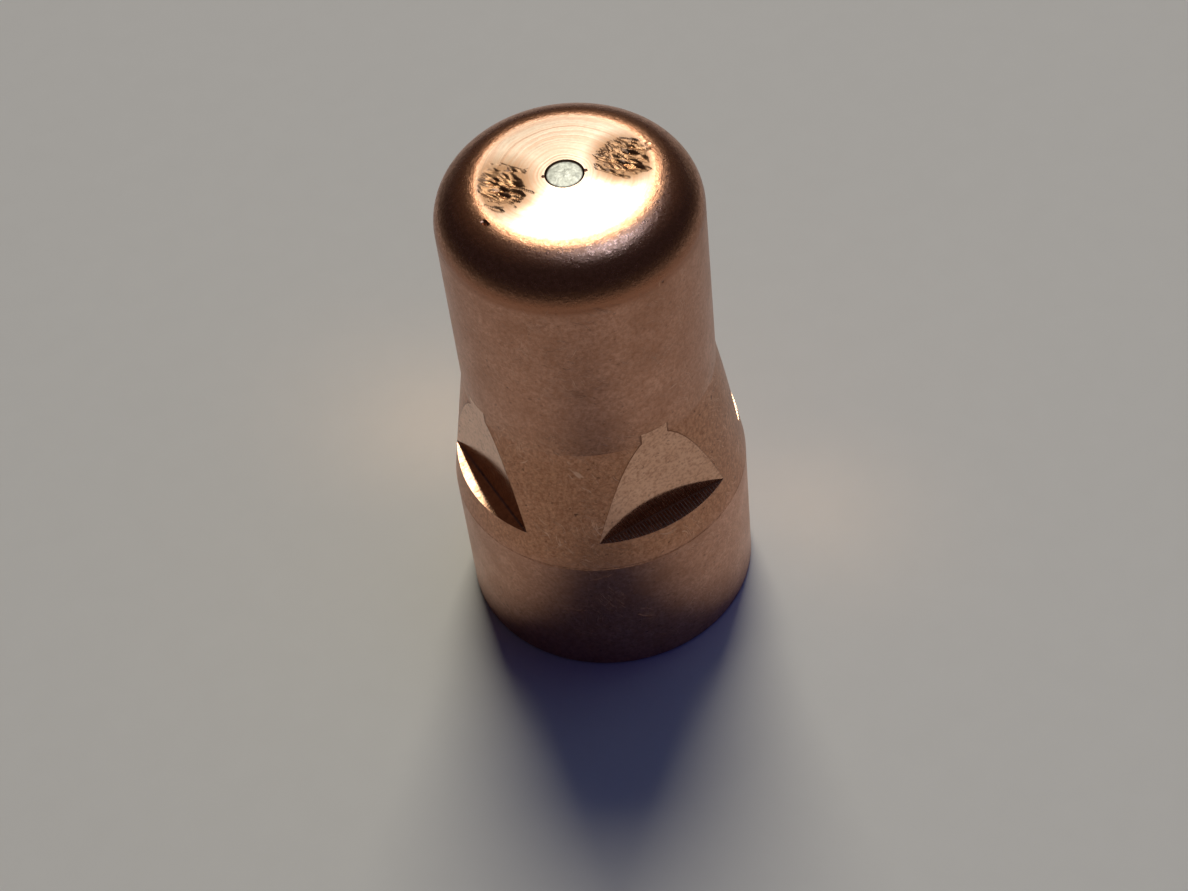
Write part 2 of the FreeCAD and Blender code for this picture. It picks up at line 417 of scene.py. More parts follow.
# Where the noise that bends the sheet is read for x and for y. Blender's noise_vector isn't used,
# because it starts from the clock and would tear the copper differently at each run.
warp_offsets = (Vector((0.3, 0.7, 0.5)), Vector((31.3, 47.7, 0.5)))
damage_ends = 1.5        # where a patch ends, in its own outlines
facet_level = 0.9        # only corners lower than this break the middle of a patch


def patch_reaches(point):
    """Distance from each patch's middle, where 1 is the patch's own outline, and its stain's."""
    reaches = []
    for centre, length, width, turn, stain in patches:
        away = Vector(point) - Vector(centre)
        along = Vector((math.cos(math.radians(turn)), math.sin(math.radians(turn))))
        across = Vector((-along.y, along.x))
        reaches.append((math.hypot(away.dot(along) / length, away.dot(across) / width), stain))
    return reaches


def stain_strength(point):
    """How stained the face is here: 1 in a patch, fading to 0 where its stain ends."""
    fades = [(stain - reach) / (stain - 1.0) for reach, stain in patch_reaches(point)]
    return max(0.0, min(1.0, max(fades)))

# %% Height of the crumpled sheet
def corner_height(column, row):
    """A random height between 0 and 1 for this corner of the sheet."""
    return noise.cell_vector(Vector((column + 0.5, row + 0.5, 0.5)) * 1.7).x


def facet_height(point, side):
    """Height at this place on a sheet of tilted triangles."""
    warp = [noise.noise(point / (2.5 * side) + offset) for offset in warp_offsets]
    warped = point + 0.25 * side * Vector((*warp, 0.0))
    first = (warped.x + warped.y / math.sqrt(3)) / side
    second = 2 * warped.y / math.sqrt(3) / side
    column, row = math.floor(first), math.floor(second)
    along, up_row = first - column, second - row
    beside = corner_height(column + 1, row)
    above = corner_height(column, row + 1)
    if along + up_row < 1:
        base = corner_height(column, row)
        return base + along * (beside - base) + up_row * (above - base)
    base = corner_height(column + 1, row + 1)
    return base + (1 - along) * (above - base) + (1 - up_row) * (beside - base)


def damage_depth(point):
    """Depth of the damage here, in millimetres."""
    strength = min(1.0, damage_ends - min(reach for reach, stain in patch_reaches(point)))
    if strength <= 0:
        return 0.0
    place = Matrix.Rotation(math.radians(-facet_turn), 2) @ Vector(point)
    place = Vector((place.x, place.y / facet_stretch, 0.0))
    height = sum(share * facet_height(place, side) for side, share in facet_sizes)
    return deepest * max(0.0, height - facet_level + strength)

# %% Keep the depths as weights and attributes
face_band = 1.5          # nothing further below the nose face is damaged
depths = {}
for vertex in body.data.vertices:
    if vertex.co.z < top - face_band or vertex.co.xy.length < emitter_r + 2 * rim_gap:
        continue
    depth = damage_depth(vertex.co.xy)
    if depth > 0:
        depths[vertex.index] = depth

deepest_found = max(depths.values())
chips = body.vertex_groups.new(name="chips")
for index, depth in depths.items():
    chips.add([index], depth / deepest_found, "REPLACE")
pitting = body.data.attributes.new("pitting", "FLOAT", "POINT")
for index, depth in depths.items():
    pitting.data[index].value = min(1.0, depth / deepest)
stained = body.data.attributes.new("stained", "FLOAT", "POINT")
for vertex in body.data.vertices:
    if vertex.co.z > top - face_band:
        stained.data[vertex.index].value = stain_strength(vertex.co.xy)
print(f"{len(depths)} chipped vertices, up to {deepest_found:.2f} mm deep")

# %% Dig the chips
apply_modifier(body, "DISPLACE", direction="Z", mid_level=0.0, strength=-deepest_found,
               vertex_group="chips")

# %% [markdown]
# ## Shading edges
# A milled flat meets the front cylinder at only six degrees, so the usual thirty degree limit
# would smooth that edge away. Five degrees keeps every machined edge crisp, and the spun
# stretches turn less than that from face to face.

# %% Smooth shading with crisp machined edges
crisp = math.radians(5)
make_active(body)
bpy.ops.object.shade_smooth_by_angle(angle=crisp, keep_sharp_edges=True)
into_place(body, "copper_body")

# %% [markdown]
# ## The emitter
# The hafnium rod is pale grey and was pressed in and trimmed, so its end is lumpy and a little
# domed. A cylinder's end is inset ring by ring to give it enough vertices, the centre is closed
# to a point, and a cloud texture pushes the lumps in.

# %% Emitter rod
emitter_play = 0.03      # the rod's end is this much smaller in radius than its hole
end_rings = 12
end_drop = 0.05          # the end's edge lies this much below the nose face
end_taper = 0.965        # the end's edge is trimmed to this share of the rod's radius
dome_rise = 0.02         # how far the first ring of the dome rises

start_fresh()
bpy.ops.mesh.primitive_cylinder_add(
    vertices=96, radius=emitter_r - emitter_play, depth=top - emitter_floor - emitter_play,
    location=(0, 0, (top + emitter_floor) / 2), end_fill_type="NGON")
emitter = bpy.context.object
bpy.ops.object.transform_apply(location=True, rotation=True, scale=True)
pick(emitter, lambda face: face.normal.z > 0.9, mode="FACE")
bpy.ops.transform.translate(value=(0, 0, -rim_gap_depth))
bpy.ops.mesh.extrude_region_move(TRANSFORM_OT_translate={"value": (0, 0, rim_gap_depth - end_drop)})
bpy.ops.transform.resize(value=(end_taper, end_taper, 1))
for ring in range(end_rings):
    bpy.ops.mesh.inset(thickness=emitter_r / (end_rings + 1), depth=dome_rise / (ring + 1) ** 1.5)
bpy.ops.mesh.poke()
bpy.ops.object.mode_set(mode="OBJECT")

# %% Lumps on the emitter's end
lump_texture = bpy.data.textures.new("lump_clouds", "CLOUDS")
lump_texture.noise_scale = 0.30
lumps = emitter.vertex_groups.new(name="lumps")
for vertex in emitter.data.vertices:
    if vertex.co.z > top - end_drop - 0.01:
        lumps.add([vertex.index], 1.0, "REPLACE")
apply_modifier(emitter, "DISPLACE", texture=lump_texture, texture_coords="LOCAL",
               direction="Z", mid_level=0.7, strength=0.07, vertex_group="lumps")
highest = max(vertex.co.z for vertex in emitter.data.vertices)
print(f"emitter's end stands {highest - top:.3f} mm over the nose face")
make_active(emitter)
bpy.ops.object.shade_smooth_by_angle(angle=math.radians(30), keep_sharp_edges=True)
into_place(emitter, "hafnium_emitter")

# %% [markdown]
# ## Building materials in code
# A material is a small network of nodes. These helpers add a node, set its plain values and
# join sockets, so that each material below reads as a list of what is mixed with what.

# %% Node helpers
def node(tree, kind, inputs=None, **settings):
    """Add a node, set its properties, and set or join its inputs."""
    made = tree.nodes.new("ShaderNode" + kind)
    for key, value in settings.items():
        setattr(made, key, value)
    for key, value in (inputs or {}).items():
        if isinstance(value, bpy.types.NodeSocket):
            tree.links.new(value, made.inputs[key])
        else:
            made.inputs[key].default_value = value
    return made


def arithmetic(tree, operation, first, second=0.0, clamp=False):
    """One step of arithmetic, and its result."""
    return node(tree, "Math", {0: first, 1: second}, operation=operation, use_clamp=clamp).outputs[0]


def remap(tree, value, low, high, new_low=0.0, new_high=1.0):
    """Stretch a range of values to another, clamped at its ends."""
    return node(tree, "MapRange", {"Value": value, "From Min": low, "From Max": high,
                                   "To Min": new_low, "To Max": new_high}).outputs[0]


def noise_at(tree, spot, scale, detail, roughness=0.5):
    """Noise that changes over the piece, between 0 and 1."""
    made = node(tree, "TexNoise", {"Vector": spot, "Scale": scale, "Detail": detail,
                                   "Roughness": roughness})
    return made.outputs["Fac"]


def blend_values(tree, share, first, second):
    """Mix two values by a share between 0 and 1."""
    mixed = node(tree, "Mix", {0: share, 2: first, 3: second}, data_type="FLOAT")
    return mixed.outputs[0]


def blend_colors(tree, share, first, second):
    """Mix two colours by a share between 0 and 1."""
    mixed = node(tree, "Mix", {0: share, 6: first, 7: second}, data_type="RGBA")
    return mixed.outputs[2]

# %% Group helpers
def new_group(name, inputs, outputs):
    """A node group with named inputs and outputs. Inputs give a kind and a default value."""
    group = bpy.data.node_groups.new(name, "ShaderNodeTree")
    for key, (kind, value) in inputs.items():
        socket = group.interface.new_socket(key, in_out="INPUT", socket_type="NodeSocket" + kind)
        socket.default_value = value
    for key, kind in outputs.items():
        group.interface.new_socket(key, in_out="OUTPUT", socket_type="NodeSocket" + kind)
    entry = group.nodes.new("NodeGroupInput")
    leaving = group.nodes.new("NodeGroupOutput")
    return group, entry, leaving


def place_group(tree, group, inputs=None):
    """Put a group in a material with its own values."""
    placed = tree.nodes.new("ShaderNodeGroup")
    placed.node_tree = group
    for key, value in (inputs or {}).items():
        if isinstance(value, bpy.types.NodeSocket):
            tree.links.new(value, placed.inputs[key])
        else:
            placed.inputs[key].default_value = value
    return placed


def millimetres(tree):
    """Place on the piece in millimetres: the vector, its distance from the axis, its height."""
    coordinates = node(tree, "TexCoord").outputs["Object"]
    scaled = node(tree, "VectorMath", {0: coordinates, "Scale": 1 / MM}, operation="SCALE").outputs[0]
    split = node(tree, "SeparateXYZ", {0: scaled}).outputs
    squares = arithmetic(tree, "ADD", arithmetic(tree, "MULTIPLY", split[0], split[0]),
                         arithmetic(tree, "MULTIPLY", split[1], split[1]))
    return scaled, arithmetic(tree, "SQRT", squares), split[2]

# %% [markdown]
# ## Shared effects
# Four effects are used more than once, so each is a group that is built once.
# Turning marks are rings round the axis. Radius minus height grows steadily along the whole
# outline, so noise read along that one number makes rings on face, nose and sides alike.
# Small marks are the dark specks and nicks that handling leaves. Clouding is the slow change of
# colour where copper has tarnished unevenly.

# %% Group for turning marks
rings, entry, leaving = new_group(
    "turning_marks",
    {"Rings per mm": ("Float", 8.0), "Waver": ("Float", 0.05)},
    {"Height": "Float"})
spot, radius_mm, height_mm = millimetres(rings)
across = arithmetic(rings, "SUBTRACT", radius_mm, height_mm)
slow = noise_at(rings, spot, 0.6, 1.0)
wavering = arithmetic(rings, "ADD", across, arithmetic(rings, "MULTIPLY", slow, entry.outputs["Waver"]))
line = arithmetic(rings, "MULTIPLY", wavering, entry.outputs["Rings per mm"])
grooves = node(rings, "TexNoise", {"W": line, "Scale": 1.0, "Detail": 3.0, "Roughness": 0.6},
               noise_dimensions="1D").outputs["Fac"]
rings.links.new(grooves, leaving.inputs["Height"])

# %% Group for small marks
specks, entry, leaving = new_group(
    "small_marks",
    {"Marks per mm": ("Float", 2.0), "Share": ("Float", 0.2), "Size": ("Float", 0.2)},
    {"Mask": "Float"})
spot, radius_mm, height_mm = millimetres(specks)
stirred = node(specks, "TexNoise", {"Vector": spot, "Scale": 8.0, "Detail": 3.0}).outputs["Color"]
stirred = node(specks, "VectorMath", {0: stirred, "Scale": 0.30}, operation="SCALE").outputs[0]
shifted = node(specks, "VectorMath", {0: spot, 1: stirred}, operation="ADD").outputs[0]
cells = node(specks, "TexVoronoi", {"Vector": shifted, "Scale": entry.outputs["Marks per mm"]})
own = node(specks, "SeparateColor", {0: cells.outputs["Color"]}).outputs
chosen = arithmetic(specks, "LESS_THAN", own[0], entry.outputs["Share"])
reach = arithmetic(specks, "MULTIPLY", entry.outputs["Size"],
                   arithmetic(specks, "ADD", arithmetic(specks, "MULTIPLY", own[1], 0.8), 0.2))
inside = arithmetic(specks, "SUBTRACT", reach, cells.outputs["Distance"])
soft = arithmetic(specks, "MULTIPLY", inside, 14.0, clamp=True)
specks.links.new(arithmetic(specks, "MULTIPLY", soft, chosen), leaving.inputs["Mask"])

# %% [markdown]
# Scratches are spots of noise stretched a long way in one direction. The sides are unrolled
# first, into distance round the axis and height, so that a scratch runs over the surface.

# %% Group for scratches
scratches, entry, leaving = new_group(
    "scratches",
    {"Turn": ("Float", 0.5), "Scratches per mm": ("Float", 2.5), "Share": ("Float", 0.2)},
    {"Mask": "Float"})
spot, radius_mm, height_mm = millimetres(scratches)
split = node(scratches, "SeparateXYZ", {0: spot}).outputs
behind = arithmetic(scratches, "MULTIPLY", split[1], -1.0)
round_axis = arithmetic(scratches, "ARCTAN2", split[0], behind)
unrolled = node(scratches, "CombineXYZ", {0: arithmetic(scratches, "MULTIPLY", round_axis, skirt_r),
                                          1: height_mm}).outputs[0]
bend = node(scratches, "TexNoise", {"Vector": spot, "Scale": 0.4, "Detail": 1.0}).outputs["Color"]
bend = node(scratches, "VectorMath", {0: bend, "Scale": 3.0}, operation="SCALE").outputs[0]
bent = node(scratches, "VectorMath", {0: unrolled, 1: bend}, operation="ADD").outputs[0]
turned = node(scratches, "VectorRotate", {"Vector": bent, "Angle": entry.outputs["Turn"]},
              rotation_type="Z_AXIS").outputs[0]
stretched = node(scratches, "VectorMath", {0: turned, 1: (0.35, 6.0, 1.0)}, operation="MULTIPLY")
spread = node(scratches, "VectorMath", {0: stretched.outputs[0],
                                        "Scale": entry.outputs["Scratches per mm"]},
              operation="SCALE").outputs[0]
lines = noise_at(scratches, spread, 1.0, 1.0)
limit = arithmetic(scratches, "SUBTRACT", 0.82, entry.outputs["Share"])
patchy = noise_at(scratches, spot, 0.35, 1.0)
limit = arithmetic(scratches, "ADD", limit, remap(scratches, patchy, 0.4, 0.6, 0.12, 0.0))
over = arithmetic(scratches, "SUBTRACT", lines, limit)
scratches.links.new(arithmetic(scratches, "MULTIPLY", over, 12.0, clamp=True), leaving.inputs["Mask"])

# %% Group for clouding
clouding, entry, leaving = new_group(
    "clouding",
    {"Bright": ("Color", (0.8, 0.5, 0.35, 1)), "Dull": ("Color", (0.6, 0.3, 0.2, 1)),
     "Scale": ("Float", 0.5)},
    {"Color": "Color", "Amount": "Float"})
spot, radius_mm, height_mm = millimetres(clouding)
broad = noise_at(clouding, spot, entry.outputs["Scale"], 5.0, 0.62)
amount = remap(clouding, broad, 0.3, 0.7)
clouding.links.new(blend_colors(clouding, amount, entry.outputs["Bright"], entry.outputs["Dull"]),
                   leaving.inputs["Color"])
clouding.links.new(amount, leaving.inputs["Amount"])
print("effects:", [group.name for group in (rings, specks, scratches, clouding)])

# %% [markdown]
# ## Turned copper
# One material covers everything that the lathe left. Masks by place split it into zones: pinkish
# satin sides and an ochre taper, as the tarnish does on the real part, a polished round, a dark
# brown band where the cylinder starts to round, which is painted reflection, and a brighter face,
# painted paler than copper as painted glare. The tool's rings scatter light across themselves and
# hardly along, so the shader is anisotropic with its tangent round the axis. That is why the
# face is bright before and behind the emitter but duller at its sides.

# %% Turned copper
satin_bright = (0.71, 0.385, 0.27, 1)
satin_dull = (0.53, 0.268, 0.172, 1)
taper_color = (0.68, 0.345, 0.19, 1)
polished_color = (0.82, 0.43, 0.27, 1)
# Painted reflection: the band where the cylinder starts to round is painted dark brown, as the dark
# room and far table that it mirrors.
dark_reflection_band_color = (0.42, 0.18, 0.10, 1)
# Painted glare: the face is painted paler than copper, as the washed-out white of the window's
# highlight on it.
face_copper_and_glare = (0.81, 0.67, 0.56, 1)
face_pink = (0.79, 0.54, 0.42, 1)
stain_color = (0.50, 0.275, 0.145, 1)
ochre_color = (0.46, 0.21, 0.12, 1)
chip_color = (0.35, 0.175, 0.085, 1)
speck_color = (0.12, 0.055, 0.035, 1)
burr_color = (0.20, 0.09, 0.05, 1)
scratch_color = (0.80, 0.50, 0.36, 1)


def new_material(name):
    """An empty material with a Principled shader, its tree and the shader."""
    material = bpy.data.materials.new(name)
    material.use_nodes = True
    tree = material.node_tree
    return material, tree, tree.nodes["Principled BSDF"]


def multiply(tree, first, second):
    """Product of two values, kept between 0 and 1."""
    return arithmetic(tree, "MULTIPLY", first, second, clamp=True)

# %% Masks by place
turned_copper, tree, shader = new_material("turned_copper")
shader.inputs["Metallic"].default_value = 1.0
shader.inputs["Anisotropic"].default_value = 0.6
tree.links.new(node(tree, "Tangent", direction_type="RADIAL", axis="Z").outputs[0],
               shader.inputs["Tangent"])
spot, radius_mm, height_mm = millimetres(tree)
on_nose = remap(tree, height_mm, nose_centre[1] - 0.05, nose_centre[1] + 0.15)
on_face = multiply(tree, remap(tree, radius_mm, crown_edge + 0.12, crown_edge - 0.20), on_nose)
near_face = multiply(tree, remap(tree, radius_mm, crown_edge + 0.7, crown_edge + 0.1), on_nose)
on_taper = multiply(tree, remap(tree, height_mm, skirt_top - 0.1, skirt_top + 0.8),
                    remap(tree, height_mm, neck + 1.8, neck - 1.2))
in_ring = multiply(tree, remap(tree, height_mm, skirt_top - 0.16, skirt_top - 0.07),
                   remap(tree, height_mm, skirt_top + 0.04, skirt_top - 0.03))
pitted = node(tree, "Attribute", attribute_name="pitting").outputs["Fac"]
stained = multiply(tree, node(tree, "Attribute", attribute_name="stained").outputs["Fac"], on_face)

# %% [markdown]
# The milled flats end in a thin ragged burr. It lies where the wider of the two coordinates
# across the axis is just short of the flat's distance, so a mask can be worked out from place.

# %% Burr mask
split = node(tree, "SeparateXYZ", {0: spot}).outputs
wider = arithmetic(tree, "MAXIMUM", arithmetic(tree, "ABSOLUTE", split[0]),
                   arithmetic(tree, "ABSOLUTE", split[1]))
ragged = noise_at(tree, spot, 4.0, 2.0)
burr_start = remap(tree, ragged, 0.3, 0.7, flat_at - 0.010, flat_at - 0.026)
burr = node(tree, "MapRange", {"Value": wider, "From Min": burr_start, "From Max": flat_at - 0.004})
burr = multiply(tree, burr.outputs[0], remap(tree, height_mm, ledge - 0.02, ledge + 0.02))
burr = multiply(tree, burr, remap(tree, height_mm, ledge + cutter + 0.06, ledge + cutter + 0.02))

# %% Marks and scratches of the turned copper
cloudy = place_group(tree, clouding, {"Bright": satin_bright, "Dull": satin_dull, "Scale": 0.55})
marks = place_group(tree, specks, {"Marks per mm": 0.9, "Share": 0.28, "Size": 0.13})
fine_marks = place_group(tree, specks, {"Marks per mm": 3.0, "Share": 0.35, "Size": 0.30})
scored = place_group(tree, scratches, {"Turn": 0.75, "Scratches per mm": 2.6, "Share": 0.21})
scored_across = place_group(tree, scratches, {"Turn": -0.65, "Scratches per mm": 2.0, "Share": 0.16})
below_nose = arithmetic(tree, "SUBTRACT", 1.0, on_nose)
speckled = multiply(tree, marks.outputs["Mask"], below_nose)
peppered = multiply(tree, fine_marks.outputs["Mask"], below_nose)
scored = arithmetic(tree, "MAXIMUM", scored.outputs["Mask"], scored_across.outputs["Mask"])
scored = multiply(tree, scored, below_nose)
# %% Colours of the sides, the round and the face
color = blend_colors(tree, arithmetic(tree, "MULTIPLY", on_taper, 0.55), cloudy.outputs["Color"],
                     taper_color)
fine_grain = remap(tree, noise_at(tree, spot, 7.0, 4.0, 0.7), 0.42, 0.62)
broad_rings = place_group(tree, rings, {"Rings per mm": 1.6, "Waver": 0.8})
fine_rings = place_group(tree, rings, {"Rings per mm": 7.0, "Waver": 0.5})
ring_tone = arithmetic(tree, "ADD", broad_rings.outputs["Height"], fine_rings.outputs["Height"])
ring_tone = remap(tree, ring_tone, 0.86, 1.16)
# Painted glare: the face's tone is paler than copper, and its rings turn it towards a pinker tone.
face_tone = blend_colors(tree, ring_tone, face_copper_and_glare, face_pink)
rim_grain = multiply(tree, near_face, remap(tree, fine_grain, 0, 1, 0.35, 1.0))
rim_tone = blend_colors(tree, rim_grain, polished_color, ochre_color)
nose_color = blend_colors(tree, on_face, rim_tone, face_tone)
color = blend_colors(tree, on_nose, color, nose_color)
# Painted reflection: the dark brown band at the start of the round.
in_reflection_band = multiply(tree, remap(tree, height_mm, nose_centre[1] - 0.35, nose_centre[1] - 0.05),
                   remap(tree, height_mm, nose_centre[1] + 1.0, nose_centre[1] + 0.4))
color = blend_colors(tree, in_reflection_band, color, dark_reflection_band_color)
# %% [markdown]
# What time and handling left lies over the colours of the zones, one layer after the other:
# flecks of tarnish, stains, scratches, the tool's line, specks, the burr and last the chips.

# %% Flecks, stains and damage over the colours
mottled = remap(tree, noise_at(tree, spot, 4.5, 4.0, 0.7), 0.40, 0.62)
mottle_share = arithmetic(tree, "SUBTRACT", remap(tree, on_taper, 0, 1, 0.72, 1.0),
                          arithmetic(tree, "MULTIPLY", on_face, 0.58))
color = blend_colors(tree, multiply(tree, mottled, mottle_share), color, ochre_color)
sides_grain = multiply(tree, fine_grain, remap(tree, on_nose, 0, 1, 1.0, 0.0))
color = blend_colors(tree, multiply(tree, sides_grain, remap(tree, on_taper, 0, 1, 0.17, 0.30)), color,
                     speck_color)
color = blend_colors(tree, arithmetic(tree, "MULTIPLY", stained, 0.9), color, stain_color)
color = blend_colors(tree, multiply(tree, scored, remap(tree, on_taper, 0, 1, 0.3, 0.7)), color,
                     scratch_color)
color = blend_colors(tree, multiply(tree, in_ring, remap(tree, mottled, 0, 1, 0.1, 0.6)), color,
                     burr_color)
color = blend_colors(tree, speckled, color, speck_color)
color = blend_colors(tree, multiply(tree, peppered, remap(tree, on_taper, 0, 1, 0.35, 0.7)), color,
                     speck_color)
color = blend_colors(tree, arithmetic(tree, "MULTIPLY", burr, 0.8), color, burr_color)
color = blend_colors(tree, pitted, color, chip_color)
tree.links.new(color, shader.inputs["Base Color"])

# %% [markdown]
# The near half of the face has been rubbed smoother than the rest, perhaps by a thumb. It gives
# back the window as one white glare, where the turned part behind it only glows.

# %% Roughness and fine relief of the turned copper
rubbed_turn = 25                         # degrees from its long axis to the X axis
rubbed_spot = (0.43, -2.85, top)         # its middle, turned and narrowed as the surface is
rubbed_reach = 2.15
side_rough = remap(tree, cloudy.outputs["Amount"], 0, 1, 0.29, 0.37)
nose_rough = remap(tree, mottled, 0, 1, 0.26, 0.36)
nose_rough = blend_values(tree, near_face, nose_rough, 0.30)
rough = blend_values(tree, on_nose, side_rough, nose_rough)
narrowed = node(tree, "VectorRotate", {"Vector": spot, "Angle": math.radians(rubbed_turn)},
                rotation_type="Z_AXIS").outputs[0]
narrowed = node(tree, "VectorMath", {0: narrowed, 1: (0.72, 1, 1)}, operation="MULTIPLY").outputs[0]
from_rubbed = node(tree, "VectorMath", {0: narrowed, 1: rubbed_spot}, operation="DISTANCE")
from_rubbed = from_rubbed.outputs["Value"]
unsteady = noise_at(tree, spot, 1.2, 3.0)
from_rubbed = arithmetic(tree, "ADD", from_rubbed, remap(tree, unsteady, 0.3, 0.7, -0.35, 0.35))
face_rough = remap(tree, from_rubbed, rubbed_reach - 0.5, rubbed_reach + 0.5, 0.26, 0.48)
rough = blend_values(tree, on_face, rough, face_rough)
rough = blend_values(tree, stained, rough, 0.60)
rough = blend_values(tree, pitted, rough, 0.20)
tree.links.new(rough, shader.inputs["Roughness"])

turned_rings = place_group(tree, rings, {"Rings per mm": 8.0, "Waver": 0.35})
grain = noise_at(tree, spot, 4.0, 4.0, 0.7)
surface = arithmetic(tree, "MULTIPLY", turned_rings.outputs["Height"],
                     remap(tree, on_face, 0, 1, 0.22, 0.5))
grain_share = arithmetic(tree, "SUBTRACT", remap(tree, on_nose, 0, 1, 0.6, 1.8),
                         arithmetic(tree, "MULTIPLY", on_face, 1.5))
surface = arithmetic(tree, "ADD", surface, arithmetic(tree, "MULTIPLY", grain, grain_share))
surface = arithmetic(tree, "SUBTRACT", surface, speckled)
surface = arithmetic(tree, "ADD", surface, burr)
surface = arithmetic(tree, "SUBTRACT", surface, arithmetic(tree, "MULTIPLY", scored, 0.5))
bump = node(tree, "Bump", {"Height": surface, "Distance": 0.012 * MM, "Strength": 1.0})
tree.links.new(bump.outputs[0], shader.inputs["Normal"])

# %% [markdown]
# ## Milled copper
# The cutter's end leaves the flats smoother than the lathe leaves the sides, so they mirror
# their own ledge. The ledge is rougher towards its outer rim, where the cutter tore the edge.
# Its ribs are real shape. Their floors shine, and their ridges are greyer and scatter light.

# %% Milled copper
milled_copper, tree, shader = new_material("milled_copper")
shader.inputs["Metallic"].default_value = 1.0
spot, radius_mm, height_mm = millimetres(tree)
cloudy = place_group(tree, clouding, {"Bright": (0.80, 0.48, 0.33, 1),
                                      "Dull": (0.72, 0.41, 0.27, 1), "Scale": 1.2})
marks = place_group(tree, specks, {"Marks per mm": 1.6, "Share": 0.35, "Size": 0.16})
fine_marks = place_group(tree, specks, {"Marks per mm": 4.0, "Share": 0.5, "Size": 0.36})
mottled = remap(tree, noise_at(tree, spot, 5.0, 4.0, 0.7), 0.46, 0.64)
color = blend_colors(tree, mottled, cloudy.outputs["Color"], (0.50, 0.26, 0.165, 1))
color = blend_colors(tree, marks.outputs["Mask"], color, speck_color)
color = blend_colors(tree, arithmetic(tree, "MULTIPLY", fine_marks.outputs["Mask"], 0.6), color,
                     speck_color)
tree.links.new(color, shader.inputs["Base Color"])
shine = remap(tree, cloudy.outputs["Amount"], 0, 1, 0.08, 0.14)
torn_rim = remap(tree, radius_mm, skirt_r - 0.95, skirt_r - 0.35, 0, 0.13)
torn_rim = arithmetic(tree, "MULTIPLY", torn_rim, remap(tree, height_mm, ledge + 0.06, ledge + 0.02))
tree.links.new(arithmetic(tree, "ADD", shine, torn_rim), shader.inputs["Roughness"])
grain = noise_at(tree, spot, 12.0, 3.0)
bump = node(tree, "Bump", {"Height": grain, "Distance": 0.001 * MM, "Strength": 1.0})
tree.links.new(bump.outputs[0], shader.inputs["Normal"])

torn_copper, tree, shader = new_material("torn_copper")
shader.inputs["Metallic"].default_value = 0.75
spot, radius_mm, height_mm = millimetres(tree)
torn = noise_at(tree, spot, 3.0, 3.0)
torn = remap(tree, torn, 0.35, 0.65)
tree.links.new(blend_colors(tree, torn, (0.25, 0.18, 0.12, 1), (0.85, 0.68, 0.48, 1)),
               shader.inputs["Base Color"])
tree.links.new(remap(tree, torn, 0, 1, 0.6, 0.35), shader.inputs["Roughness"])

# %% Give each face its finish
body.data.materials.clear()
for material in (turned_copper, milled_copper, torn_copper):
    body.data.materials.append(material)
counts = [0, 0, 0]
for face in body.data.polygons:
    middle = face.center / MM
    side = max(abs(middle.x), abs(middle.y))
    in_cut = ledge - fall_left < middle.z < ledge + cutter + 2 * corner and middle.xy.length < skirt_r
    on_flat = abs(side - flat_at) < 0.002 and abs(face.normal.z) < 0.1
    on_ledge = face.normal.z > 0.3 and middle.z < ledge + corner + 2 * rib_depth
    ridged = on_ledge and side > flat_at + corner and 0.3 < face.normal.z < 0.985
    if in_cut and (on_flat or on_ledge):
        face.material_index = 2 if ridged else 1
    counts[face.material_index] += 1
print("turned, milled and torn faces:", counts)

# %% [markdown]
# ## Hafnium
# Hafnium is a grey metal, and its worn end carries a thin pale oxide. It is made less metallic
# than the copper and quite rough, with darker patches, and its edge is dark where it meets the copper.

# %% Hafnium
hafnium, tree, shader = new_material("hafnium")
shader.inputs["Metallic"].default_value = 0.45
spot, radius_mm, height_mm = millimetres(tree)
cloudy = place_group(tree, clouding, {"Bright": (0.90, 0.90, 0.82, 1), "Dull": (0.58, 0.58, 0.50, 1),
                                      "Scale": 3.0})
edge = remap(tree, radius_mm, emitter_r - 0.13, emitter_r - 0.06)
color = blend_colors(tree, edge, cloudy.outputs["Color"], (0.10, 0.08, 0.06, 1))
tree.links.new(color, shader.inputs["Base Color"])
tree.links.new(remap(tree, cloudy.outputs["Amount"], 0, 1, 0.46, 0.6), shader.inputs["Roughness"])
grain = noise_at(tree, spot, 8.0, 4.0)
bump = node(tree, "Bump", {"Height": grain, "Distance": 0.02 * MM, "Strength": 1.0})
tree.links.new(bump.outputs[0], shader.inputs["Normal"])
emitter.data.materials.clear()
emitter.data.materials.append(hafnium)

# %% [markdown]
# ## Table, window and room
# The electrode stands on a pale grey table in a dim room with one tall window. The shape of the
# shadow tells where the window is: its point lies close, so the window's top is high, and its
# sides slope in, so the window is some thirty degrees wide. It stands behind and a little to the
# right. Polished metal shows whatever is round it, so the room matters as much as the window:
# it is dark, which draws the dark band round the nose.
# For the same reason the table is made darker from four centimetres outwards in reflections
# only: the real one ended there, so the dark band reaches right down to the cylinder.

# %% Table
window_middle = 5.2                    # azimuth of the window's middle, in degrees


def direction_to(azimuth, lift):
    """A direction, by its azimuth to the right of straight behind the part and its lift."""
    turn = camera_azimuth - math.radians(azimuth)
    lift = math.radians(lift)
    return Vector((-math.sin(turn) * math.cos(lift), math.cos(turn) * math.cos(lift),
                   math.sin(lift)))


